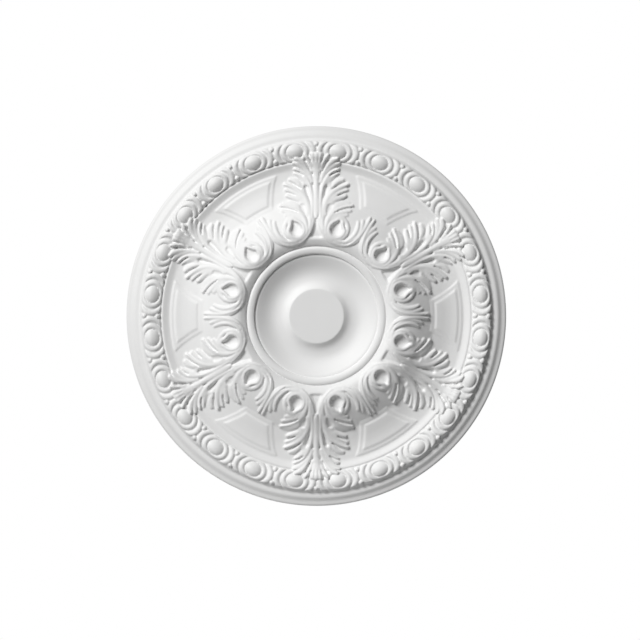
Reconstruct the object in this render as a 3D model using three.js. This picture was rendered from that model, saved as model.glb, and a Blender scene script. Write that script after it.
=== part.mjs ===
// Moulded ceiling rose: one round casting with a plain middle, a big roll carrying six
// acanthus sprays, six raised panels, an egg-and-dart border and a stepped rim.
// The carving is a height over the flat back, worked out for half of one spray's share of
// the circle and repeated, mirrored and turned, round the rose.
// The finished rose stands upright: its flat back is the plane y = 0 and it faces -Y.
import * as THREE from "three";

// Overall sizes, millimetres
const ROSE_RADIUS = 250;
const RIM_EDGE = 5;
const SPRAYS = 6;
const SHARE = Math.PI / SPRAYS;

// Turned body: radius and height of the plain middle, cove, bead, roll, field and border
const DISC_RADIUS = 35.2;
const DISC_HEIGHT = 24.4;
const COVE_RADIUS = 53;
const COVE_HEIGHT = 16.9;
const BEAD_RADIUS = 87.5;
const BEAD_HEIGHT = 32.8;
const ROLL_RADIUS = 110;
const ROLL_HEIGHT = 38.2;
const ROLL_FOOT_RADIUS = 152;
const ROLL_FOOT_HEIGHT = 18;
const FIELD_EDGE_RADIUS = 192;
const FIELD_EDGE_HEIGHT = 9.1;
const BAND_INNER_RADIUS = 204;
const BAND_INNER_HEIGHT = 11.4;
const BAND_RADIUS = 219.4;
const BAND_HEIGHT = 16.5;
const BAND_OUTER_RADIUS = 232;
const BAND_OUTER_HEIGHT = 11.4;

// Egg-and-dart border
const EGGS = 24;
const EGG_RADIUS = 10;
const EGG_RISE = 3.8;
const SHELL_RADIUS = 15;
const SHELL_HALF_WIDTH = 3;
const SHELL_RISE = 1.8;
const DART_REACH = 11.5;
const DART_HALF_WIDTH = 3.2;
const DART_RISE = 1.8;

// Raised panels between the sprays: a low edge, a flat margin and a bevel up to the field
const PANEL_OUTER_RADIUS = 192;
const PANEL_INNER_RADIUS = 152;
const PANEL_OUTER_HALF = 47.5;
const PANEL_INNER_HALF = 20.5;
const PANEL_EDGE_RISE = 1;
const PANEL_RISE = 2.1;
const PANEL_BEVEL_START = 4.4;
const PANEL_BEVEL_END = 8.6;

// Acanthus spray: its stem, thin edge, and the scroll beside its foot
const LEAF_THICKNESS = 3.8;
const STEM_START = 122;
const STEM_END = 208;
const STEM_HALF_WIDTH = 5;
const SCROLL_X = 29.8;
const SCROLL_Y = 115.2;
const SCROLL_RADIUS = 11.5;
const SCROLL_RING = 4.5;

// Facets: steps of the sample grid over one half share, samples kept for the carving, and how much
// more closely the facets follow the shallow border and panels than the deep leaves
const ANGLE_STEPS = 60;
const RADIUS_STEPS = 92;
const ROUND_SIDES = 5;
const KEPT_SAMPLES = 350;
const BORDER_CARE = 1.6;
const PANEL_CARE = 3;
const CARVED_INNER = 97;
const CARVED_OUTER = 235;

const BODY_LINE = [
  [0, DISC_HEIGHT],
  [DISC_RADIUS, DISC_HEIGHT],
  [DISC_RADIUS + 3.8, DISC_HEIGHT - 2.6],
  [DISC_RADIUS + 8, COVE_HEIGHT + 2],
  [COVE_RADIUS, COVE_HEIGHT],
  [COVE_RADIUS + 13, COVE_HEIGHT + 3.6],
  [BEAD_RADIUS - 6.8, BEAD_HEIGHT - 4.5],
  [BEAD_RADIUS - 5.2, BEAD_HEIGHT - 1.7],
  [BEAD_RADIUS, BEAD_HEIGHT],
  [BEAD_RADIUS + 3.8, BEAD_HEIGHT - 0.4],
  [CARVED_INNER, ROLL_HEIGHT - 1.7],
  [ROLL_RADIUS - 6, ROLL_HEIGHT - 0.1],
  [ROLL_RADIUS, ROLL_HEIGHT],
  [ROLL_RADIUS + 6, ROLL_HEIGHT - 0.9],
  [ROLL_RADIUS + 14, ROLL_HEIGHT - 3.9],
  [ROLL_RADIUS + 22, ROLL_HEIGHT - 8],
  [ROLL_RADIUS + 32, ROLL_HEIGHT - 14],
  [ROLL_FOOT_RADIUS - 3, ROLL_FOOT_HEIGHT + 1.9],
  [ROLL_FOOT_RADIUS, ROLL_FOOT_HEIGHT],
  [ROLL_FOOT_RADIUS + 6, ROLL_FOOT_HEIGHT - 2.9],
  [ROLL_FOOT_RADIUS + 20, ROLL_FOOT_HEIGHT - 6.9],
  [FIELD_EDGE_RADIUS, FIELD_EDGE_HEIGHT],
  [BAND_INNER_RADIUS - 5, BAND_INNER_HEIGHT - 0.6],
  [BAND_INNER_RADIUS, BAND_INNER_HEIGHT],
  [BAND_RADIUS - 8, BAND_HEIGHT - 1.9],
  [BAND_RADIUS, BAND_HEIGHT],
  [BAND_RADIUS + 7, BAND_HEIGHT - 0.6],
  [BAND_OUTER_RADIUS, BAND_OUTER_HEIGHT],
  [CARVED_OUTER, BAND_OUTER_HEIGHT - 0.4],
  [ROSE_RADIUS - 11.5, BAND_OUTER_HEIGHT - 0.7],
  [ROSE_RADIUS - 6.5, RIM_EDGE + 2.3],
  [ROSE_RADIUS, RIM_EDGE],
];

// Height of the spray along its middle, from the top of the roll to its rolled-over tip
const LEAF_LINE = [
  [STEM_START, ROLL_HEIGHT - 1.6],
  [ROLL_RADIUS + 22, ROLL_HEIGHT - 5],
  [ROLL_FOOT_RADIUS - 7, ROLL_HEIGHT - 11.9],
  [ROLL_FOOT_RADIUS + 1, ROLL_FOOT_HEIGHT + 4.3],
  [ROLL_FOOT_RADIUS + 7, ROLL_FOOT_HEIGHT + 2.1],
  [ROLL_FOOT_RADIUS + 19, ROLL_FOOT_HEIGHT - 1.4],
  [FIELD_EDGE_RADIUS - 5, FIELD_EDGE_HEIGHT + 5],
  [FIELD_EDGE_RADIUS + 6, FIELD_EDGE_HEIGHT + 6.4],
  [BAND_RADIUS - 8, BAND_HEIGHT + 3.9],
  [BAND_RADIUS, BAND_HEIGHT + 1.6],
];

const { clamp, lerp, smoothstep } = THREE.MathUtils;

// Height on a line of radius and height pairs, straight between the pairs.
function heightOn(line, radius) {
  const last = line.length - 1;
  const next = line.findIndex((point) => point[0] >= radius);
  if (next === 0) return line[0][1];
  if (next < 0) return line[last][1];
  const [r0, z0] = line[next - 1];
  const [r1, z1] = line[next];
  return lerp(z0, z1, (radius - r0) / (r1 - r0));
}

// Thickness of the spray over the body, never less than a thin leaf.
function leafRise(radius) {
  const rise = heightOn(LEAF_LINE, radius) - heightOn(BODY_LINE, radius);
  return Math.max(LEAF_THICKNESS, rise);
}

// Rounded back across a strip: 1 on its middle, 0 at its edges and beyond.
const roundBack = (distance, half) => Math.max(0, 1 - (distance / half) ** 2);

// Nearest place on a curve: how far along it lies, 0 to 1, and how far away.
function nearest(path, x, y) {
  let best = { along: 0, distance: Infinity };
  for (let i = 1; i < path.length; i += 1) {
    const from = path[i - 1];
    const to = path[i];
    const dx = to.x - from.x;
    const dy = to.y - from.y;
    const part = clamp(((x - from.x) * dx + (y - from.y) * dy) / (dx * dx + dy * dy), 0, 1);
    const distance = Math.hypot(x - from.x - part * dx, y - from.y - part * dy);
    if (distance < best.distance) best = { along: (i - 1 + part) / (path.length - 1), distance };
  }
  return best;
}

// Leaf finger from its root past its bend to its blunt tip; the parts are of the spray's thickness.
function finger(root, bend, tip, halfWidth, rootPart, tipPart) {
  const ends = [root, bend, tip].map(([x, y]) => new THREE.Vector2(x, y));
  const path = new THREE.QuadraticBezierCurve(...ends).getPoints(14);
  return (x, y) => {
    const { along, distance } = nearest(path, x, y);
    const half = halfWidth * (0.6 + 0.4 * Math.sin(Math.PI * along ** 0.8));
    const rise = leafRise(Math.hypot(x, y)) * lerp(rootPart, tipPart, along);
    return rise * roundBack(distance, half);
  };
}

const FAN = [
  finger([0, 178], [0, 200], [0, 213], 8, 1, 1.05),
  finger([5, 182], [9, 200], [15, 210.5], 7.5, 0.85, 0.95),
  finger([6, 181], [15, 198], [25, 204], 6.5, 0.8, 0.75),
];

const LOBES = [
  finger([6, 156], [10, 182], [25, 191], 7.5, 0.9, 0.65),
  finger([7, 130], [12, 163], [37, 176], 6.5, 0.9, 0.6),
  finger([10, 136], [18, 157], [40, 164], 7, 0.8, 0.5),
  finger([9.5, 117], [16, 144], [45, 144], 7, 0.85, 0.6),
];

const CLUSTER = [
  finger([-2.1, 108], [-3.4, 132], [-2.1, 146.5], 5.5, 0.9, 0.8),
  finger([-5.5, 108], [-9.5, 126], [-8.5, 137], 6, 0.8, 0.6),
];

const BAND_PATH = new THREE.SplineCurve(
  [
    [3, STEM_START + 9],
    [8.5, SCROLL_Y - 2],
    [SCROLL_X - 9, SCROLL_Y - 16.5],
    [SCROLL_X + 5, SCROLL_Y - 20],
    [SCROLL_X + 18, SCROLL_Y - 15],
    [SCROLL_X + 30, SCROLL_Y + 3],
  ].map(([x, y]) => new THREE.Vector2(x, y)),
).getPoints(30);

function stemRise(x, y) {
  if (y < STEM_START || y > STEM_END) return 0;
  const half = STEM_HALF_WIDTH * lerp(1, 0.75, (y - STEM_START) / (STEM_END - STEM_START));
  const side = Math.max(0, 1 - (x / half) ** 4);
  return leafRise(Math.hypot(x, y)) * side * smoothstep(y, STEM_START, STEM_START + 10);
}

// Scroll: a ring round a hollow eye, and the band that runs from the stem round below it.
function scrollRise(x, y) {
  const reach = Math.hypot(x - SCROLL_X, y - SCROLL_Y);
  const ring = roundBack(reach - SCROLL_RADIUS, SCROLL_RING);
  const band = 0.9 * roundBack(nearest(BAND_PATH, x, y).distance, SCROLL_RING);
  return LEAF_THICKNESS * Math.max(ring, band);
}

// The spray's half share: the greatest of its parts, the cluster measured from the share's far edge.
function sprayRise(x, y) {
  const parts = [stemRise(x, y), scrollRise(x, y)];
  for (const part of [...FAN, ...LOBES]) {
    parts.push(part(x, y));
  }
  const turnedX = x * Math.cos(SHARE) - y * Math.sin(SHARE);
  const turnedY = x * Math.sin(SHARE) + y * Math.cos(SHARE);
  for (const part of CLUSTER) {
    parts.push(part(turnedX, turnedY));
  }
  return Math.max(...parts);
}

// Raised panel: its rise follows the distance in from the nearest side of a trapezium.
function panelRise(x, y) {
  const across = Math.abs(x * Math.cos(SHARE) - y * Math.sin(SHARE));
  const radius = Math.hypot(x, y);
  const up = (radius - PANEL_INNER_RADIUS) / (PANEL_OUTER_RADIUS - PANEL_INNER_RADIUS);
  const side = lerp(PANEL_INNER_HALF, PANEL_OUTER_HALF, up) - 8 * up * (1 - up);
  const inset = Math.min(
    (side - across) * 0.85,
    PANEL_OUTER_RADIUS - radius,
    radius - PANEL_INNER_RADIUS,
  );
  const edge = PANEL_EDGE_RISE * smoothstep(inset, -0.5, 1.2);
  const bevel = smoothstep(inset, PANEL_BEVEL_START, PANEL_BEVEL_END);
  return edge + (PANEL_RISE - PANEL_EDGE_RISE) * bevel;
}

// Border: an egg in a shell ring on every step, and a four-armed dart between eggs.
function borderRise(x, y) {
  const step = (2 * Math.PI) / EGGS;
  const turns = Math.atan2(x, y) / step;
  const radial = Math.hypot(x, y) - BAND_RADIUS;
  const fromEgg = (turns - Math.floor(turns) - 0.5) * step * BAND_RADIUS;
  const fromDart = Math.abs((turns - Math.round(turns)) * step * BAND_RADIUS);
  const reach = Math.hypot(fromEgg, radial);
  const dome = EGG_RISE * Math.sqrt(Math.max(0, 1 - (reach / EGG_RADIUS) ** 2));
  const clip = 1 - smoothstep(Math.abs(radial), 11, 14);
  const shell = SHELL_RISE * clip * roundBack(reach - SHELL_RADIUS, SHELL_HALF_WIDTH);
  const offArm = Math.abs(fromDart - Math.abs(radial) * 0.7) * 0.8;
  const arm = roundBack(offArm, DART_HALF_WIDTH) * roundBack(Math.hypot(fromDart, radial), DART_REACH);
  return Math.max(dome, shell, DART_RISE * arm * clip);
}

// Height of the carved face over the back at an angle from a stem and a radius.
function faceHeight(angle, radius) {
  const x = radius * Math.sin(angle);
  const y = radius * Math.cos(angle);
  const ornament = Math.max(sprayRise(x, y), borderRise(x, y), panelRise(x, y));
  return heightOn(BODY_LINE, radius) + ornament;
}

// Samples of one half share, on an even grid of angle and radius.
function sampleGrid() {
  const samples = [];
  const reach = CARVED_OUTER - CARVED_INNER;
  for (let i = 0; i <= ANGLE_STEPS; i += 1) {
    for (let j = 0; j <= RADIUS_STEPS; j += 1) {
      const radius = CARVED_INNER + (reach * j) / RADIUS_STEPS;
      const angle = (SHARE * i) / ANGLE_STEPS;
      const across = angle * ROLL_FOOT_RADIUS;
      const inBorder = radius > BAND_INNER_RADIUS - 6 && i > ANGLE_STEPS / 6;
      const inPanel = radius > PANEL_INNER_RADIUS && i > ANGLE_STEPS / 2;
      const care = inBorder ? BORDER_CARE : inPanel ? PANEL_CARE : 1;
      samples.push({ i, j, u: across, v: radius, z: faceHeight(angle, radius), care, miss: 0 });
    }
  }
  return samples;
}

const doubleArea = (a, b, c) => (b.u - a.u) * (c.v - a.v) - (c.u - a.u) * (b.v - a.v);

function insideCircle(corners, p) {
  const [a, b, c] = corners.map((q) => [q.u - p.u, q.v - p.v, (q.u - p.u) ** 2 + (q.v - p.v) ** 2]);
  const volume =
    a[0] * (b[1] * c[2] - c[1] * b[2]) -
    a[1] * (b[0] * c[2] - c[0] * b[2]) +
    a[2] * (b[0] * c[1] - c[0] * b[1]);
  return volume > 1e-6;
}

// How far a sample stands off the flat facet that covers it.
function missOn([a, b, c], p) {
  const whole = doubleArea(a, b, c);
  const height = doubleArea(p, b, c) * a.z + doubleArea(a, p, c) * b.z + doubleArea(a, b, p) * c.z;
  return p.care * Math.abs(p.z - height / whole);
}

const covers = ([a, b, c], p) =>
  doubleArea(a, b, p) >= -1e-9 && doubleArea(b, c, p) >= -1e-9 && doubleArea(c, a, p) >= -1e-9;

// Facets of one half share: starting from its corners, the sample that stands farthest off the
// facets is added each time, and the facets round it are drawn afresh.
function facets(samples) {
  const rows = [0, RADIUS_STEPS].map((row) =>
    samples.filter((p) => p.j === row && p.i % (ANGLE_STEPS / ROUND_SIDES) === 0),
  );
  let faces = [];
  for (let k = 0; k < ROUND_SIDES; k += 1) {
    const [inner, outer] = rows;
    faces.push({ corners: [inner[k], inner[k + 1], outer[k]], loose: [] });
    faces.push({ corners: [inner[k + 1], outer[k + 1], outer[k]], loose: [] });
  }
  const settle = (points, among) => {
    for (const p of points) {
      const face = among.find(({ corners }) => covers(corners, p));
      if (face) {
        p.miss = missOn(face.corners, p);
        face.loose.push(p);
      }
    }
  };
  settle(samples.filter((p) => p.j > 0 && p.j < RADIUS_STEPS), faces);
  for (let kept = 0; kept < KEPT_SAMPLES; kept += 1) {
    let worst = null;
    for (const face of faces) {
      for (const p of face.loose) {
        if (!worst || p.miss > worst.miss) worst = p;
      }
    }
    const opened = faces.filter(({ corners }) => insideCircle(corners, worst) || covers(corners, worst));
    const edges = new Map();
    for (const { corners } of opened) {
      corners.forEach((a, k) => {
        const b = corners[(k + 1) % 3];
        const back = `${b.i},${b.j},${a.i},${a.j}`;
        if (!edges.delete(back)) edges.set(`${a.i},${a.j},${b.i},${b.j}`, [a, b]);
      });
    }
    const fresh = [...edges.values()]
      .filter(([a, b]) => doubleArea(a, b, worst) > 1e-6)
      .map(([a, b]) => ({ corners: [a, b, worst], loose: [] }));
    const freed = opened.flatMap((face) => face.loose).filter((p) => p !== worst);
    faces = faces.filter((face) => !opened.includes(face)).concat(fresh);
    settle(freed, fresh);
  }
  return faces.map((face) => face.corners);
}

// Closed body: the carved facets mirrored and turned round the rose, plain rings inside and
// outside them, the straight edge and the flat back.
function roseGeometry() {
  const around = 2 * SPRAYS * ANGLE_STEPS;
  const positions = [];
  const index = [];
  const known = new Map();
  const vertex = (step, radius, height) => {
    const key = `${(step + around) % around},${radius.toFixed(3)},${height > 0}`;
    if (!known.has(key)) {
      const angle = (2 * Math.PI * step) / around;
      known.set(key, positions.length / 3);
      positions.push(radius * Math.sin(angle), radius * Math.cos(angle), height);
    }
    return known.get(key);
  };
  for (const corners of facets(sampleGrid())) {
    for (let share = 0; share < SPRAYS; share += 1) {
      const start = share * 2 * ANGLE_STEPS;
      const [a, b, c] = corners.map((p) => vertex(start + p.i, p.v, p.z));
      const [d, e, f] = corners.map((p) => vertex(start - p.i, p.v, p.z));
      index.push(a, b, c, d, f, e);
    }
  }
  const plain = (from, to) => BODY_LINE.filter(([radius]) => radius >= from && radius <= to);
  const rings = [plain(DISC_RADIUS, CARVED_INNER), plain(CARVED_OUTER, ROSE_RADIUS)];
  rings[1].push([ROSE_RADIUS, 0]);
  const step = ANGLE_STEPS / ROUND_SIDES;
  const middle = positions.length / 3;
  positions.push(0, 0, DISC_HEIGHT, 0, 0, 0);
  for (let at = 0; at < around; at += step) {
    for (const ring of rings) {
      for (let k = 1; k < ring.length; k += 1) {
        const [a, b] = [ring[k - 1], ring[k]].map((point) => vertex(at, ...point));
        const [c, d] = [ring[k - 1], ring[k]].map((point) => vertex((at + step) % around, ...point));
        index.push(a, c, b, b, c, d);
      }
    }
    const next = (at + step) % around;
    index.push(middle, vertex(next, DISC_RADIUS, DISC_HEIGHT), vertex(at, DISC_RADIUS, DISC_HEIGHT));
    index.push(middle + 1, vertex(at, ROSE_RADIUS, 0), vertex(next, ROSE_RADIUS, 0));
  }
  const geometry = new THREE.BufferGeometry();
  geometry.setAttribute("position", new THREE.Float32BufferAttribute(positions, 3));
  geometry.setIndex(index);
  geometry.computeVertexNormals();
  return geometry;
}

const rose = new THREE.Mesh(
  roseGeometry(),
  new THREE.MeshStandardMaterial({ color: 0xf2f2f0, roughness: 0.75, metalness: 0 }),
);
rose.name = "ceiling_rose";
rose.rotation.x = Math.PI / 2;

const object = new THREE.Group();
object.add(rose);
export default object;
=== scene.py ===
import bpy
import numpy as np
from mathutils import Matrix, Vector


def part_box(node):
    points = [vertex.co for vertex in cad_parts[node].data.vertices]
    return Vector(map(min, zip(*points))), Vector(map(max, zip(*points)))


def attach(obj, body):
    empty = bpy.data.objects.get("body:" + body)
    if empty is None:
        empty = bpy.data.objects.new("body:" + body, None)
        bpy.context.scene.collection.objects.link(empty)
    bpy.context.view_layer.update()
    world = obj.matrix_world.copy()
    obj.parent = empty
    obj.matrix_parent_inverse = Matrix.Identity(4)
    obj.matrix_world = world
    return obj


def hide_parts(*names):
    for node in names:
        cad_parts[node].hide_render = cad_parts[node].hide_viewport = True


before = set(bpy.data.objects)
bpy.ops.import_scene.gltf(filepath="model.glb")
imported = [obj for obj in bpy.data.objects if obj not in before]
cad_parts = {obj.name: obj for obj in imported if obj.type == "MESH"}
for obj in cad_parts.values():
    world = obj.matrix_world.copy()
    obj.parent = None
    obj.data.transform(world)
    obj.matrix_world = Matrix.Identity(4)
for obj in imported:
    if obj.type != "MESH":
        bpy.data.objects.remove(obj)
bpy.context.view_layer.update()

# Turned body: plain middle, cove, bead, big roll, sloping field with a lip, the border's half round
# and the stepped rim. The real rose is one moulding of rigid white foam, primed white, poured face
# down in a mould that was taken from turned and carved work.
SPRAYS = 6
HALF_SHARE = np.pi / SPRAYS
# Places on the face are in parts, 190 to the radius, and heights over the flat back in millimetres.
PARTS = 190
# Each member's line, from the middle out: pairs of distance from the centre and height.
PLAIN_MIDDLE = ((0, 24.4), (26.7, 24.4), (27.3, 24.2), (28.2, 23.4), (29.6, 21.8))
COVE = (
    (31.4, 20), (33, 18.8), (35, 17.9), (38, 17.1), (41, 16.9), (45, 17.8), (50, 20.4), (54, 23.4),
    (58, 26.6), (60, 27.8), (61, 27.9), (61.5, 27.8),
)
RING_BEAD = ((62.2, 30.8), (64.2, 32.4), (66.5, 32.9), (68.4, 32.4), (69.6, 30.8))
ROLL = (
    (70.3, 32.7), (73, 35.3), (76, 37.3), (79, 38.1), (82, 38.2), (85, 38), (90, 36.5), (95, 34),
    (100, 30.7), (105, 26.8), (110, 22.6), (114, 19), (116.4, 16.8),
)
FIELD = ((118.4, 15.6), (125, 13), (130, 11.2), (136, 9.8), (141, 9.3), (146.4, 9.1))
FIELD_LIP = (
    (148, 9.4), (150, 10.3), (152, 11.4), (153.5, 12.2), (154.1, 12.3), (154.7, 12), (155.3, 11.2),
)
HALF_ROUND = (
    (156.3, 12.5), (158, 13.3), (161, 14.8), (164, 15.9), (167.5, 16.6), (170, 16.6), (172.6, 15.8),
    (175, 14), (176.8, 11.4),
)
STEPPED_RIM = (
    (177.8, 11), (180.6, 10.8), (181.6, 10.5), (184.8, 7.4), (186.2, 6.7), (188, 6.2), (190, 5.6),
)
BODY_LINE = PLAIN_MIDDLE + COVE + RING_BEAD + ROLL + FIELD + FIELD_LIP + HALF_ROUND + STEPPED_RIM


def smooth_line(knots, at):
    """Smooth line through pairs of place and height. Between two knots it is a cubic, and its slope
    at a knot is the harmonic mean of the straight slopes beside it, level where they change sign."""
    place, height = np.array(knots, float).T
    slope = np.diff(height) / np.diff(place)
    before, after = slope[:-1], slope[1:]
    same = before * after > 0
    mean = 2 * before * after / np.where(same, before + after, 1)
    bend = np.concatenate(([0], np.where(same, mean, 0), [0]))
    i = np.clip(np.searchsorted(place, at) - 1, 0, len(place) - 2)
    run = place[i + 1] - place[i]
    t = np.clip((at - place[i]) / run, 0, 1)
    first = (1 - t) ** 2 * ((1 + 2 * t) * height[i] + t * run * bend[i])
    return first + t**2 * ((3 - 2 * t) * height[i + 1] + (t - 1) * run * bend[i + 1])


def body_height(x, y):
    """Height of the turned body: the smooth line of the body at the distance from the centre."""
    return smooth_line(BODY_LINE, np.hypot(x, y))


# Egg-and-dart border: 24 eggs round the half round, each in a ring and an outer shell. Two shells
# meet in a four-armed dart, with a bead above and below. Moulded in one with the body.
BORDER_RADIUS = 165.4
BORDER_HALF = 9.9
BORDER_FADE = 1.2
EGGS = 24
EGG_STEP = 2 * np.pi / EGGS
EGG_STRETCH = 1.14
EGG_RADIUS = 7.4
EGG_RISE = 4.2
EGG_POINT = 1.4
# The ring and the shell: stretch round the rose, radius, half width and rise.
SHELLS = ((1.22, 9.4, 1.9, 2.2), (1.36, 13.7, 1.9, 2.4))
BEAD_AT = 7
BEAD_RADIUS = 2.3
BEAD_RISE = 3.4


def round_back(distance, half):
    """Rounded ridge: 1 on the middle, falling as a quarter ellipse to 0 at the half width."""
    return np.sqrt(np.clip(1 - (distance / half) ** 2, 0, None))


def border_rise(x, y):
    """Rise of the border over the body: a dome, drawn to a slight point by a power, rounded ridges at
    set distances from the egg's middle, and a round bead on each side of the place where two shells
    meet. Ridges and beads fade out at the border's edges."""
    turns = np.arctan2(x, y) / EGG_STEP
    lift = np.abs(np.hypot(x, y) - BORDER_RADIUS)
    side = np.abs(turns % 1 - 0.5) * EGG_STEP * BORDER_RADIUS
    dome = EGG_RISE * round_back(np.hypot(side / EGG_STRETCH, lift), EGG_RADIUS) ** EGG_POINT
    rings = [rise * round_back(np.hypot(side / stretch, lift) - radius, half)
             for stretch, radius, half, rise in SHELLS]
    from_dart = EGG_STEP * BORDER_RADIUS / 2 - side
    bead = BEAD_RISE * round_back(np.hypot(from_dart, lift - BEAD_AT), BEAD_RADIUS)
    within = np.clip((BORDER_HALF - lift) / BORDER_FADE, 0, 1)
    return np.maximum(dome, np.maximum.reduce([bead, *rings]) * within)


# Raised panels: six low tablets on the field between the sprays, each with a narrow edge, a flat
# margin and a bevel up to its own field. Moulded in one with the body.
PANEL_OUTER = 146
PANEL_INNER = 115
PANEL_SIDE = ((115, 15.6), (126, 21.4), (138, 29.2), (146.5, 36.4))
PANEL_STEPS = ((-0.6, 0), (0.7, 1.1), (3.4, 1.1), (5.4, 2.3), (40, 2.3))
SIDE_SLANT = 0.84


def turned_axis(x, y):
    """The same place measured from the middle of the panel, half a share round the rose."""
    across = x * np.cos(HALF_SHARE) - y * np.sin(HALF_SHARE)
    along = x * np.sin(HALF_SHARE) + y * np.cos(HALF_SHARE)
    return across, along


def panel_rise(x, y):
    """Rise of a panel: a stepped line over the distance in from its nearest side. The distance across
    to a slanting side is shortened to the one square to it."""
    across, _ = turned_axis(x, y)
    radius = np.hypot(x, y)
    side = np.interp(radius, *np.array(PANEL_SIDE).T)
    inset = (side - np.abs(across)) * SIDE_SLANT
    inset = np.minimum.reduce([inset, PANEL_OUTER - radius, radius - PANEL_INNER])
    return smooth_line(PANEL_STEPS, inset)


# Acanthus sprays: six leaves that start from the top of the roll, run down over the field and curl
# over at the border. Each has a flat stem, four pairs of lobes cut into fingers, and a fluted tip.
# They are carved in the pattern and moulded in one with the body.
LEAF_LINE = (
    (60, 31), (88, 37.4), (94, 35.8), (100, 33.4), (110, 26.4), (116, 22.4), (120, 20.4), (126, 18),
    (130, 16.6), (136, 15), (142, 14.1), (146, 14.2), (150, 15.3), (156, 18.3), (160, 20.4),
    (163, 20.3), (166, 18.4),
)
LEAF_LEAST = 3.4
STEM_START = 97
STEM_END = 160
STEM_LINE = ((97, 0.6), (100, 2.2), (104, 3.1), (116, 3.3), (130, 3.1), (142, 2.8), (158, 2.2))
STEM_PARTS = ((97, 0.7), (101, 1), (150, 1.02), (160, 1))
STEM_CROWN = 0.16
TIP_START = 136
TIP_END = 164
TIP_LINE = ((136, 3), (142, 3.5), (150, 4.6), (157, 5.8), (161, 6.8), (164, 7.2))
TIP_BOW = 1.6
TIP_ROLL = 2.2
FLUTES = 1.5
FLUTE_DEPTH = 0.2
FLUTE_ROUND = 0.7
# Across the stem, the tip and a finger, one power makes the back flat and one turns its edge.
STRIP_FLAT = 5
STRIP_EDGE = 0.6
FINGER_FLAT = 2.2
FINGER_EDGE = 0.8
FINGER_WIDTH = ((0, 0.55), (0.25, 0.8), (0.5, 1), (0.78, 1), (0.94, 0.75), (1, 0.6))
CREASE = 0.55
CURVE_RUNS = 14

# Each strip: its root, bend and tip across and along the spray, its half width, and its height at
# root, middle and tip as parts of the leaf's thickness there. The first strip of a lobe is its web.
LOBES = (
    (
        (((5, 138), (11, 149), (17.5, 152.5)), 4.8, (0.85, 0.76, 0.5)),
        (((4.4, 134), (8.6, 153), (20.6, 156.8)), 3.8, (0.9, 0.92, 0.9)),
        (((5.8, 137), (11, 149), (22.6, 152.8)), 3.4, (0.8, 0.8, 0.66)),
        (((4.2, 145), (7, 155), (11.8, 161.2)), 2.8, (0.85, 0.9, 0.84)),
    ),
    (
        (((5, 122), (8, 137), (17.5, 142.6)), 5, (0.8, 0.76, 0.45)),
        (((4.4, 98), (0.8, 140), (21.6, 146.4)), 3.5, (0.9, 1, 0.82)),
        (((6.2, 122), (9.5, 138.5), (21.6, 143.2)), 3.2, (0.6, 0.8, 0.6)),
        (((8, 127), (11.5, 135.5), (18.4, 139.4)), 3, (0.5, 0.68, 0.42)),
    ),
    (
        (((8, 102), (13, 121), (27, 127.5)), 7.4, (0.85, 0.84, 0.42)),
        (((12, 121), (16.4, 134), (26.4, 136)), 4, (0.6, 0.82, 0.56)),
        (((10.6, 119), (12.8, 129), (13.8, 134.8)), 3.4, (0.6, 0.78, 0.52)),
        (((6.4, 86), (2.8, 124.5), (30.8, 131.6)), 4.2, (0.75, 1, 0.8)),
        (((8.4, 106), (12, 120.6), (30.6, 126)), 3.4, (0.7, 0.88, 0.56)),
        (((12, 112), (16, 117.4), (28.8, 120)), 3.9, (0.6, 0.86, 0.66)),
    ),
    (
        (((14, 104), (18, 111.6), (32, 111.6)), 4.4, (0.45, 0.72, 0.45)),
        (((9.4, 82), (8, 107), (35.8, 110)), 3.5, (0.8, 1, 0.76)),
        (((11, 91), (14, 104.2), (34, 105)), 3.2, (0.65, 0.82, 0.62)),
        (((12.4, 92), (15.4, 100.6), (30.6, 100.4)), 3, (0.6, 0.74, 0.55)),
    ),
)
# Hollows sunk between the lobes, and cuts between fingers: start, bend and end, and the half width
# at the start.
HOLLOWS = (
    (((13.8, 108.8), (12.6, 106), (10.8, 102.6)), 3.4),
    (((10.2, 128.4), (9.3, 125), (8.2, 121.4)), 2.8),
    (((11.4, 156), (8.2, 151.5), (6.2, 145)), 1.9),
    (((33.6, 134.6), (23, 132.8), (16, 127)), 2),
    (((33, 123.4), (27, 123), (21, 120)), 1.7),
    (((36.6, 107.6), (26, 107.2), (17.6, 102.6)), 1.8),
    (((24, 145), (17, 143.6), (12.4, 139.6)), 1.6),
)
HOLLOW_WIDTH = ((0, 1), (0.6, 0.85), (1, 0.3))
HOLLOW_SHARE = 0.95
HOLLOW_BOWL = 0.75


def leaf_thickness(x, y):
    """Thickness of the leaf: its own smooth line less the body, and never less than a thin leaf."""
    return np.maximum(smooth_line(LEAF_LINE, np.hypot(x, y)) - body_height(x, y), LEAF_LEAST)


def along_curve(points, x, y):
    """Nearest place on the quadratic curve of a root, bend and tip: how far along it lies, 0 to 1,
    and how far away. The curve is taken as short straight runs, all measured at once."""
    root, bend, tip = np.array(points, float)
    t = np.linspace(0, 1, CURVE_RUNS + 1)[:, None]
    curve = (1 - t) ** 2 * root + 2 * t * (1 - t) * bend + t**2 * tip
    start, run = curve[:-1, :, None], np.diff(curve, axis=0)[:, :, None]
    dx, dy = x - start[:, 0], y - start[:, 1]
    part = np.clip((dx * run[:, 0] + dy * run[:, 1]) / (run**2).sum(1), 0, 1)
    gap = np.hypot(dx - part * run[:, 0], dy - part * run[:, 1])
    near = gap.argmin(0)
    pick = (near, np.arange(x.size))
    return (near + part[pick]) / CURVE_RUNS, gap[pick]


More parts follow.
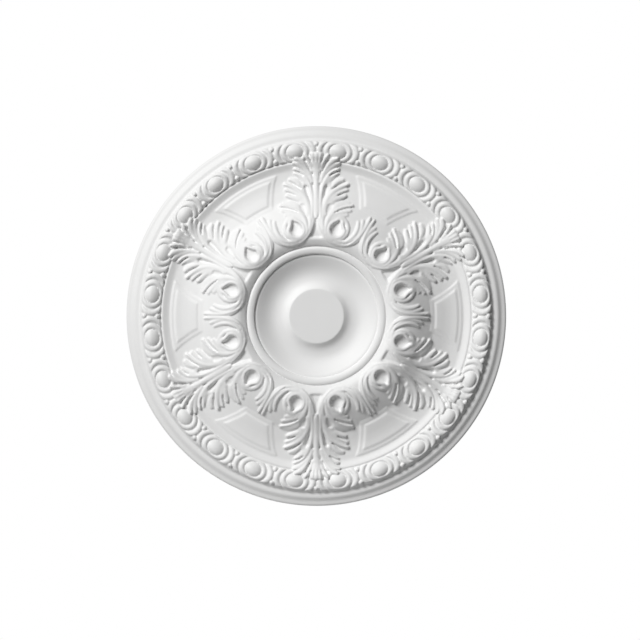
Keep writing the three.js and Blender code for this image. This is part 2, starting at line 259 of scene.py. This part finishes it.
def strip_rise(strip, x, y):
    """Rise of one strip as a part of the leaf's thickness: across the strip a back that is 1 less a
    power of the distance from its line, times its height part along it."""
    points, half, parts = strip
    along, gap = along_curve(points, x, y)
    width = half * np.interp(along, *np.array(FINGER_WIDTH).T)
    back = np.clip(1 - (gap / width) ** FINGER_FLAT, 0, None) ** FINGER_EDGE
    return np.interp(along, (0, 0.5, 1), parts) * back


def soft_greatest(one, other, blend):
    """Greatest of two heights, with the crease between them rounded over the blend height."""
    mix = np.clip(0.5 + 0.5 * (one - other) / blend, 0, 1)
    return other + (one - other) * mix + blend * mix * (1 - mix)


def lobe_rise(lobe, thickness, x, y):
    """Rise of one lobe: its web, with each finger laid over it in turn."""
    web, *fingers = lobe
    rise = thickness * strip_rise(web, x, y)
    for finger in fingers:
        ridge = thickness * strip_rise(finger, x, y)
        rise = np.where(ridge > 0, soft_greatest(ridge, rise, CREASE), rise)
    return rise


def hollow_share(hollows, x, y):
    """Share of the leaf taken away by hollows: greatest along a hollow's line, as a bowl to 0 at its
    edge. A hollow narrows from its start to its end."""
    parts = []
    for points, half in hollows:
        along, gap = along_curve(points, x, y)
        parts.append(gap / half / np.interp(along, *np.array(HOLLOW_WIDTH).T))
    return HOLLOW_SHARE * np.clip(1 - np.minimum.reduce(parts) ** 2, 0, None) ** HOLLOW_BOWL


def flat_back(across):
    """Nearly flat strip with rounded edges: 1 less a high power of the share of the half width."""
    return np.clip(1 - across**STRIP_FLAT, 0, None) ** STRIP_EDGE


def stem_rise(x, y, thickness):
    """Rise of the stem: a slightly crowned flat strip that tapers along the spray."""
    across = np.abs(x) / np.interp(y, *np.array(STEM_LINE).T)
    crown = (1 - STEM_CROWN * across**2) * flat_back(across)
    part = np.interp(y, *np.array(STEM_PARTS).T)
    return np.where((y > STEM_START) & (y < STEM_END) & (across < 1), thickness * part * crown, 0)


def tip_rise(x, y, thickness):
    """Rise of the fluted tip: it widens along the spray, has waves across it, and rolls over in a
    quarter circle at its slightly bowed end."""
    across = np.abs(x) / np.interp(y, *np.array(TIP_LINE).T)
    wave = np.abs(np.cos(np.pi * FLUTES * across)) ** FLUTE_ROUND
    flute = 1 - FLUTE_DEPTH * (1 - wave)
    back = np.clip((TIP_END - TIP_BOW * across**4 - y) / TIP_ROLL, 0, 1)
    roll = np.sqrt(1 - (1 - back) ** 2)
    return np.where((y > TIP_START) & (across < 1), thickness * flute * flat_back(across) * roll, 0)


# Scrolls and bands: two ribs leave the stem's foot on each side of a sunk three-cornered gouge and
# run under a scroll with a dished, drop-shaped eye, then up between two sprays as a bunch of blades.
# Moulded in one with the body.
EYE = ((20, 85.8), (20.2, 89), (23, 93.6))
EYE_WIDTH = ((0, 6), (0.4, 5.4), (0.75, 3.4), (1, 1.2))
EYE_DEPTH = 4.6
RIM_RISE = 3
RIM_HALF = 2.2
OUTER_RIM_MIDDLE = (20, 87.4)
OUTER_RIM_RADIUS = 11.4
OUTER_RIM_SHARE = 0.8
# Each curve of the two bands: root, bend and tip, half width and rise.
BANDS = (
    (((4.6, 101), (5.8, 85.6), (14.5, 77.4)), 1.9, 2.7),
    (((14.5, 77.4), (25.5, 70.6), (36, 75.6)), 1.9, 2.7),
    (((36, 75.6), (42, 78.6), (45, 86)), 1.9, 2.7),
    (((2.8, 98), (4.6, 82), (14.5, 73.8)), 1.7, 2.2),
    (((14.5, 73.8), (25.5, 67.6), (36.5, 72)), 1.7, 2.2),
    (((36.5, 72), (42, 74.6), (45.5, 80)), 1.7, 2.2),
)
# The bunch of blades is a lobe set out from the middle of the panel, and so is its hollow.
BLADES = (
    (((-4, 86), (-4.6, 94), (-4.4, 101)), 3.4, (0.6, 0.7, 0.4)),
    (((-8, 76.6), (0.4, 88), (-2.3, 111.4)), 2.6, (0.8, 1, 0.85)),
    (((-2.6, 90), (-3.6, 98), (-7, 105.4)), 2.7, (0.7, 0.85, 0.66)),
    (((-12.6, 77.4), (-3, 90), (-10.4, 101.8)), 2.6, (0.8, 0.95, 0.75)),
)
BLADE_HOLLOWS = ((((-11.4, 89), (-11.6, 92), (-12, 95.4)), 2.7),)
GOUGE_END = 78.8
GOUGE_STEP = 1.2
GOUGE_TOP = 99
GOUGE_HALF = 7.4
GOUGE_WALL = 0.9
GOUGE_FLOOR = 3.2


def scroll_rise(x, y):
    """Rise of the scroll: a rounded ridge along the outline of the eye, a lower circular one outside
    it, and inside the eye a bowl, shallower where the drop is narrower."""
    along, gap = along_curve(EYE, x, y)
    width = np.interp(along, *np.array(EYE_WIDTH).T)
    out = gap - width
    rim = round_back(out - RIM_HALF, RIM_HALF)
    from_middle = np.hypot(x - OUTER_RIM_MIDDLE[0], y - OUTER_RIM_MIDDLE[1])
    outer_rim = OUTER_RIM_SHARE * round_back(from_middle - OUTER_RIM_RADIUS, RIM_HALF)
    bowl = EYE_DEPTH * np.sqrt(width / EYE_WIDTH[0][1]) * round_back(gap, width)
    return np.where(out < 0, -bowl, RIM_RISE * np.maximum(rim, outer_rim))


def band_rise(x, y):
    """Rise of the bands: two rounded ribs, each along three joined curves."""
    ribs = [height * round_back(along_curve(points, x, y)[1], half) for points, half, height in BANDS]
    return np.maximum.reduce(ribs)


def gouge_depth(x, y):
    """Depth of the gouge at the foot: three-cornered, with sloping walls down to a flat floor, which
    a steep wall ends."""
    half = GOUGE_HALF * np.clip((GOUGE_TOP - y) / (GOUGE_TOP - GOUGE_END), 0, 1)
    ended = np.clip((y - GOUGE_END) / GOUGE_STEP + 1, 0, 1)
    return ended * np.clip(GOUGE_WALL * (half - np.abs(x)), 0, GOUGE_FLOOR)


def spray_rise(x, y):
    """Rise of a spray's half share: the greatest of tip, lobes, blades and bands less the hollows,
    with the stem, the gouge at the foot and the scroll, whose eye cuts through what it crosses."""
    thickness = leaf_thickness(x, y)
    across, along = turned_axis(x, y)
    lobes = [lobe_rise(lobe, thickness, x, y) for lobe in LOBES]
    rise = np.maximum.reduce([tip_rise(x, y, thickness), band_rise(x, y), *lobes])
    rise = np.maximum(rise, lobe_rise(BLADES, thickness, across, along))
    hollow = np.maximum(hollow_share(HOLLOWS, x, y), hollow_share(BLADE_HOLLOWS, across, along))
    rise = np.maximum(rise * (1 - hollow), stem_rise(x, y, thickness))
    rise = rise - gouge_depth(x, y) * np.clip(1 - rise, 0, 1)
    scroll = scroll_rise(x, y)
    return np.where(scroll < 0, scroll, np.where(scroll > 0, np.maximum(rise, scroll), rise))


def face_height(x, y):
    """Height of the carved face over the back: the body and the greatest rise of its ornament."""
    spray = spray_rise(x, y)
    ornament = np.maximum(border_rise(x, y), panel_rise(x, y))
    return body_height(x, y) + np.where(spray < 0, spray, np.maximum(spray, ornament))


# The casting: one closed shell of the carved face, the thin edge and the flat back that is glued and
# pinned to the ceiling. Its face is sprayed with a matt white primer, and the back is bare foam.
PIECE = "ceiling_rose_casting"
NODE = "ceiling_rose"
# Each zone of the face: its columns to half a share, then runs of rings as start, end and number.
ZONES = (
    (20, (24.6, 26.4, 1), (26.4, 29, 5), (29, 36, 6), (36, 58, 6), (58, 60.6, 3), (60.6, 63, 7),
     (63, 69, 5), (69, 71, 6), (71, 72, 1)),
    (60, (72.6, 153.4, 70)),
    (96, (154, 177, 29)),
    (26, (177.6, 189, 9)),
)
# The rings of the edge, as distance from the centre and height.
EDGE = ((189.7, 4.8), (190, 4.2), (190, 0))
MILLIMETRE = 0.001


def zone_points(columns, runs, part, edge):
    """Points of one zone as rings and angles: face_height over half a share, mirrored and repeated
    round the rose, and after it the rings of the edge. One part is given in metres."""
    radius = np.concatenate([np.linspace(*run, endpoint=False) for run in runs] + [[runs[-1][1]]])
    angle = np.linspace(0, HALF_SHARE, columns + 1)
    x = np.outer(radius, np.sin(angle))
    y = np.outer(radius, np.cos(angle))
    half = face_height(x.ravel(), y.ravel()).reshape(x.shape)
    height = np.tile(np.hstack([half[:, :0:-1], half[:, :-1]]), SPRAYS)
    around = height.shape[1]
    radius = np.concatenate([radius, edge[:, 0]]) * part
    height = np.vstack([height, np.repeat(edge[:, 1:], around, axis=1)]) * MILLIMETRE
    turn = np.linspace(-HALF_SHARE, 2 * np.pi - HALF_SHARE, around, endpoint=False)
    return np.stack([np.outer(radius, np.sin(turn)), -height, np.outer(radius, np.cos(turn))], axis=2)


def grid_faces(number, height):
    """Two triangles for each cell, cut along the diagonal whose ends are nearer in height, so that
    the cuts follow the ridges."""
    after = np.roll(number, -1, axis=1)
    a, b, c, d = (grid.ravel() for grid in (number[:-1], after[:-1], after[1:], number[1:]))
    first = (np.abs(height[a] - height[c]) <= np.abs(height[b] - height[d]))[:, None]
    upper = np.where(first, np.stack([a, b, c], 1), np.stack([a, b, d], 1))
    lower = np.where(first, np.stack([a, c, d], 1), np.stack([b, c, d], 1))
    return np.vstack([upper, lower])


def joint_faces(inner, outer):
    """Triangles between two closed rings of unlike count: each edge of one ring is joined to the
    corner that the other ring has reached by the middle of that edge."""
    n, m = len(inner), len(outer)
    i, j = np.arange(n), np.arange(m)
    reached_out = -((n - (2 * i + 1) * m) // (2 * n)) % m
    reached_in = ((2 * j + 1) * n + m) // (2 * m) % n
    one = np.stack([inner, np.roll(inner, -1), outer[reached_out]], 1)
    other = np.stack([inner[reached_in], np.roll(outer, -1), outer], 1)
    return np.vstack([one, other])


def fan_faces(middle, ring):
    """Triangles from a middle point to each edge of a closed ring."""
    return np.stack([np.full(len(ring), middle), np.roll(ring, -1), ring], 1)


def casting_mesh(name, part):
    """One closed shell: zones of the face with joints between them, the disc in the middle of the
    face and the flat back."""
    edges = [np.zeros((0, 2))] * (len(ZONES) - 1) + [np.array(EDGE)]
    grids = [zone_points(columns, runs, part, edge) for (columns, *runs), edge in zip(ZONES, edges)]
    middles = [[0, grids[0][0, 0, 1], 0], [0, 0, 0]]
    corners = np.vstack([grid.reshape(-1, 3) for grid in grids] + [middles])
    starts = np.cumsum([0] + [grid.shape[0] * grid.shape[1] for grid in grids])
    numbers = [np.arange(grid.shape[0] * grid.shape[1]).reshape(grid.shape[:2]) + start
               for grid, start in zip(grids, starts)]
    faces = [grid_faces(number, -corners[:, 1]) for number in numbers]
    faces += [joint_faces(inner[-1], outer[0]) for inner, outer in zip(numbers, numbers[1:])]
    faces.append(fan_faces(starts[-1], numbers[0][0]))
    back = fan_faces(starts[-1] + 1, numbers[-1][-1])[:, ::-1]
    faces = np.vstack(faces + [back])

    mesh = bpy.data.meshes.new(name)
    mesh.vertices.add(len(corners))
    mesh.vertices.foreach_set("co", corners.ravel())
    mesh.loops.add(faces.size)
    mesh.loops.foreach_set("vertex_index", faces.ravel())
    mesh.polygons.add(len(faces))
    mesh.polygons.foreach_set("loop_start", np.arange(0, faces.size, 3))
    is_back = np.arange(len(faces)) >= len(faces) - len(back)
    mesh.polygons.foreach_set("use_smooth", ~is_back)
    mesh.polygons.foreach_set("material_index", is_back.astype(int))
    mesh.update(calc_edges=True)
    mesh.validate()
    return mesh


# Each skin: two close colours and the least and greatest roughness.
PRIMER = (((0.83, 0.83, 0.825), (0.86, 0.86, 0.855)), (0.5, 0.62))
BARE_FOAM = (((0.72, 0.7, 0.64), (0.8, 0.78, 0.72)), (0.7, 0.85))
SKIN_GLOSS = 0.35
GRAIN_DETAIL = 3
PIT_STRENGTH = 0.4


def grain_group():
    """Grain of a sprayed or foamed skin: broad cloudy patches and fine pits, both from noise in
    object space, given out as a colour mask and as a bump height."""
    tree = bpy.data.node_groups.new("skin_grain", "ShaderNodeTree")
    tree.interface.new_socket("Cloud Scale", in_out="INPUT", socket_type="NodeSocketFloat")
    tree.interface.new_socket("Pit Scale", in_out="INPUT", socket_type="NodeSocketFloat")
    tree.interface.new_socket("Cloud", in_out="OUTPUT", socket_type="NodeSocketFloat")
    tree.interface.new_socket("Pits", in_out="OUTPUT", socket_type="NodeSocketFloat")
    enter = tree.nodes.new("NodeGroupInput")
    leave = tree.nodes.new("NodeGroupOutput")
    place = tree.nodes.new("ShaderNodeTexCoord")
    for scale, result in (("Cloud Scale", "Cloud"), ("Pit Scale", "Pits")):
        noise = tree.nodes.new("ShaderNodeTexNoise")
        noise.inputs["Detail"].default_value = GRAIN_DETAIL
        tree.links.new(place.outputs["Object"], noise.inputs["Vector"])
        tree.links.new(enter.outputs[scale], noise.inputs["Scale"])
        tree.links.new(noise.outputs["Fac"], leave.inputs[result])
    return tree


def skin_material(name, skin, cloud_scale, pit_scale, pit_depth):
    """Matt skin: two close colours mixed by the cloudy patches, a roughness that follows them, and
    fine pits as a bump. Scales count patches or pits to the metre, and the depth is in metres."""
    colours, roughness = skin
    material = bpy.data.materials.new(name)
    material.use_nodes = True
    tree = material.node_tree
    shader = tree.nodes["Principled BSDF"]
    shader.inputs["Specular IOR Level"].default_value = SKIN_GLOSS
    grain = tree.nodes.new("ShaderNodeGroup")
    grain.node_tree = bpy.data.node_groups.get("skin_grain") or grain_group()
    grain.inputs["Cloud Scale"].default_value = cloud_scale
    grain.inputs["Pit Scale"].default_value = pit_scale
    colour = tree.nodes.new("ShaderNodeMix")
    colour.data_type = "RGBA"
    colour.inputs["A"].default_value = (*colours[0], 1)
    colour.inputs["B"].default_value = (*colours[1], 1)
    matt = tree.nodes.new("ShaderNodeMapRange")
    matt.inputs["To Min"].default_value = roughness[0]
    matt.inputs["To Max"].default_value = roughness[1]
    bump = tree.nodes.new("ShaderNodeBump")
    bump.inputs["Strength"].default_value = PIT_STRENGTH
    bump.inputs["Distance"].default_value = pit_depth
    tree.links.new(grain.outputs["Cloud"], colour.inputs["Factor"])
    tree.links.new(grain.outputs["Cloud"], matt.inputs["Value"])
    tree.links.new(grain.outputs["Pits"], bump.inputs["Height"])
    tree.links.new(colour.outputs["Result"], shader.inputs["Base Color"])
    tree.links.new(matt.outputs["Result"], shader.inputs["Roughness"])
    tree.links.new(bump.outputs["Normal"], shader.inputs["Normal"])
    return material


low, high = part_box(NODE)
rose = bpy.data.objects.new(PIECE, casting_mesh(PIECE, (high.x - low.x) / 2 / PARTS))
bpy.context.scene.collection.objects.link(rose)
rose.data.materials.append(
    skin_material("matt_white_primer", PRIMER, cloud_scale=30, pit_scale=900, pit_depth=0.0001)
)
rose.data.materials.append(
    skin_material("bare_foam_back", BARE_FOAM, cloud_scale=60, pit_scale=500, pit_depth=0.0004)
)
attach(rose, "root")
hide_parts(NODE)

# Studio: a plain pale floor well below the rose, a white surround that lights it softly, a large
# lamp at the upper left that gives the carving its shadows, and one behind that shows the back.
FLOOR_RADIUS = 0.9
FLOOR_HEIGHT = -1.1
FLOOR_SIDES = 96
PALE_FLOOR = (((0.9, 0.9, 0.9), (0.93, 0.93, 0.93)), (0.8, 0.9))
LAMP_DISTANCE = 8
LAMP_SIZE = 2.9
# Each lamp: its turn from straight up, its rise from the face towards the camera, and its power.
LAMPS = {"key": (-43, 43.5, 645), "back_fill": (90, -45, 500)}
SURROUND = 0.07

# The floor is a flat disc: one face whose corners stand evenly round a circle.
turn = np.linspace(0, 2 * np.pi, FLOOR_SIDES, endpoint=False)
level_rim = np.full(FLOOR_SIDES, FLOOR_HEIGHT)
floor_rim = np.stack([FLOOR_RADIUS * np.cos(turn), FLOOR_RADIUS * np.sin(turn), level_rim], 1)
floor_mesh = bpy.data.meshes.new("studio_floor")
floor_mesh.from_pydata(floor_rim.tolist(), [], [list(range(FLOOR_SIDES))])
floor = bpy.data.objects.new("studio_floor", floor_mesh)
bpy.context.scene.collection.objects.link(floor)
floor_mesh.materials.append(
    skin_material("pale_floor", PALE_FLOOR, cloud_scale=6, pit_scale=200, pit_depth=0.0002)
)

# The surround lights the rose dimly, and the camera sees it as plain white.
world = bpy.data.worlds.new("white_surround")
bpy.context.scene.world = world
world.use_nodes = True
tree = world.node_tree
dim = tree.nodes["Background"]
dim.inputs["Color"].default_value = (1, 1, 1, 1)
dim.inputs["Strength"].default_value = SURROUND
white = tree.nodes.new("ShaderNodeBackground")
white.inputs["Color"].default_value = (1, 1, 1, 1)
sight = tree.nodes.new("ShaderNodeLightPath")
either = tree.nodes.new("ShaderNodeMixShader")
tree.links.new(sight.outputs["Is Camera Ray"], either.inputs["Fac"])
tree.links.new(dim.outputs["Background"], either.inputs[1])
tree.links.new(white.outputs["Background"], either.inputs[2])
tree.links.new(either.outputs["Shader"], tree.nodes["World Output"].inputs["Surface"])

for name, (lamp_turn, lamp_rise, power) in LAMPS.items():
    lamp_data = bpy.data.lights.new(name, "AREA")
    lamp_data.shape = "DISK"
    lamp_data.size = LAMP_SIZE
    lamp_data.energy = power
    lamp = bpy.data.objects.new(name, lamp_data)
    across, out = np.sin(np.radians(lamp_turn)), np.cos(np.radians(lamp_turn))
    level, front = np.cos(np.radians(lamp_rise)), np.sin(np.radians(lamp_rise))
    lamp.location = LAMP_DISTANCE * np.array([across * level, -front, out * level])
    lamp.rotation_mode = "QUATERNION"
    lamp.rotation_quaternion = (-lamp.location).to_track_quat("-Z", "Y")
    bpy.context.scene.collection.objects.link(lamp)

# Camera: square on to the face with a long lens, at the distance that gives the rose its width in
# the photograph. The rose's middle is a few pixels left of and above the picture's middle.
PICTURE = 640
ROSE_PIXELS = 379.4
MIDDLE_PIXELS = (316.45, 316.0)
LENS = 250
SENSOR = 36

pixel = (high.x - low.x) / ROSE_PIXELS
camera_data = bpy.data.cameras.new("camera")
camera_data.lens = LENS
camera_data.sensor_width = SENSOR
camera = bpy.data.objects.new("camera", camera_data)
camera.location = (
    (PICTURE / 2 - MIDDLE_PIXELS[0]) * pixel,
    -PICTURE * pixel * LENS / SENSOR,
    (MIDDLE_PIXELS[1] - PICTURE / 2) * pixel,
)
camera.rotation_euler = (np.pi / 2, 0, 0)
bpy.context.scene.collection.objects.link(camera)
bpy.context.scene.camera = camera
bpy.context.scene.view_settings.view_transform = "Standard"
